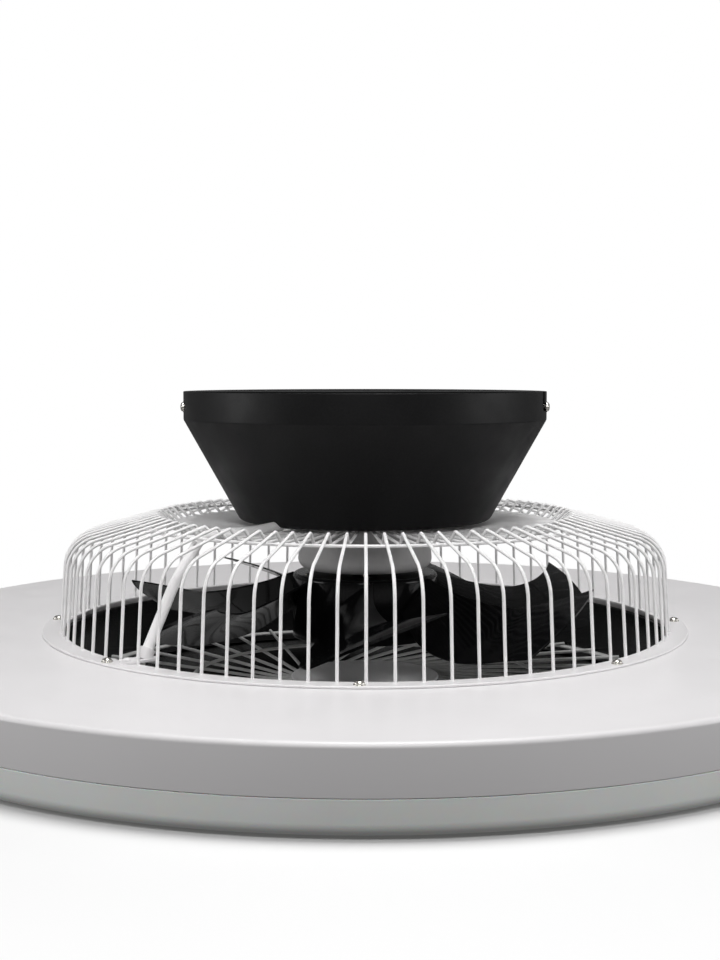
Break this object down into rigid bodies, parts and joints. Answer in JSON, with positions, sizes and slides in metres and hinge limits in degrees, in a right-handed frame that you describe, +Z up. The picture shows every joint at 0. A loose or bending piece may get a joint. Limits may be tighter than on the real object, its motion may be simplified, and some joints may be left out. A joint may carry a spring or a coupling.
{
  "type": "caged ceiling fan with ring lamp",
  "caption": "Flush ceiling fan: black cone canopy, dished white wire cage, hidden black rotor in a duct, bottom grille and a wide ring lamp around it.",
  "frame": {"origin": "centre of the face that meets the ceiling, on the rotor's axis", "axes": "+Z up along the rotor's axis into the ceiling, -Y to the front, +X to the right"},
  "size_m": [0.6499, 0.65, 0.201],
  "materials": {
    "black_powder_coat": "fine matt powder coat",
    "zinc_plated_steel": "zinc plated",
    "white_wire_coat": "satin epoxy coat",
    "white_ring_paint": "satin paint",
    "opal_diffuser": "opal, satin",
    "black_liner": "glossy",
    "black_gloss_plastic": "high gloss",
    "grey_motor_paint": "satin paint",
    "cast_aluminium": "as cast",
    "grille_coat": "satin grey coat",
    "bright_screws": "bright nickel",
    "electrical_steel": "laminated",
    "copper_wire": "enamelled copper",
    "magnet": "nickel plated, dull",
    "bearing_steel": "ground",
    "bearing_cage": "moulded nylon",
    "white_case": "moulded",
    "terminal_plastic": "moulded",
    "circuit_board": "white solder mask",
    "led_phosphor": "silicone",
    "white_cable": "PVC sheath"
  },
  "bodies": {
    "root": {"ceiling_bracket": "black_powder_coat", "terminal_block": "terminal_plastic", "canopy": "black_powder_coat", "canopy_side_screws": "bright_screws", "led_driver": "white_case", "fan_controller": "white_case", "motor_screws": "bright_screws", "cage_plate": "white_wire_coat", "cage_wires": "white_wire_coat", "cage_ring": "white_wire_coat", "cage_flange": "white_wire_coat", "flange_screws": "bright_screws", "flange_nuts": "zinc_plated_steel", "ring_housing": "white_ring_paint", "led_boards": "circuit_board", "led_chips": "led_phosphor", "diffuser": "opal_diffuser", "duct_liner": "black_liner", "grille_outer_ring": "grille_coat", "grille_spokes": "grille_coat", "grille_ring": "grille_coat", "grille_disc": "grille_coat", "grille_screws": "bright_screws", "wiring_conduit": "white_wire_coat", "conduit_foot": "white_wire_coat", "conduit_screw": "white_wire_coat", "led_cable": "white_cable", "motor_leads": "white_cable", "motor_housing": "grey_motor_paint", "motor_end_plate": "cast_aluminium", "end_plate_screws": "bright_screws", "stator_core": "electrical_steel", "stator_coils": "copper_wire", "upper_outer_race": "bearing_steel", "lower_outer_race": "bearing_steel"},
    "rotor": {"motor_shaft": "bearing_steel", "upper_inner_race": "bearing_steel", "lower_inner_race": "bearing_steel", "rotor_core": "electrical_steel", "rotor_magnets": "magnet", "drive_pin": "bearing_steel", "rotor_hub": "black_gloss_plastic", "hub_nut": "black_gloss_plastic", "blade_screws": "bright_screws", "blade_1": "black_gloss_plastic", "blade_2": "black_gloss_plastic", "blade_3": "black_gloss_plastic", "blade_4": "black_gloss_plastic", "blade_5": "black_gloss_plastic", "blade_6": "black_gloss_plastic", "blade_7": "black_gloss_plastic"},
    "upper_ball_set": {"upper_balls": "bearing_steel", "upper_retainer": "bearing_cage"},
    "lower_ball_set": {"lower_balls": "bearing_steel", "lower_retainer": "bearing_cage"}
  },
  "joints": [
    {"name": "rotor_spin", "type": "hinge", "parent": "root", "child": "rotor", "pos_m": [0, 0, -0.13], "axis": [0, 0, 1], "continuous": true},
    {"name": "upper_ball_orbit", "type": "hinge", "parent": "root", "child": "upper_ball_set", "pos_m": [0, 0, -0.0953], "axis": [0, 0, 1], "continuous": true},
    {"name": "lower_ball_orbit", "type": "hinge", "parent": "root", "child": "lower_ball_set", "pos_m": [0, 0, -0.1114], "axis": [0, 0, 1], "continuous": true}
  ],
  "couplings": [
    {"joint": "upper_ball_orbit", "follows": "rotor_spin", "ratio": 0.3677},
    {"joint": "lower_ball_orbit", "follows": "rotor_spin", "ratio": 0.3677}
  ]
}
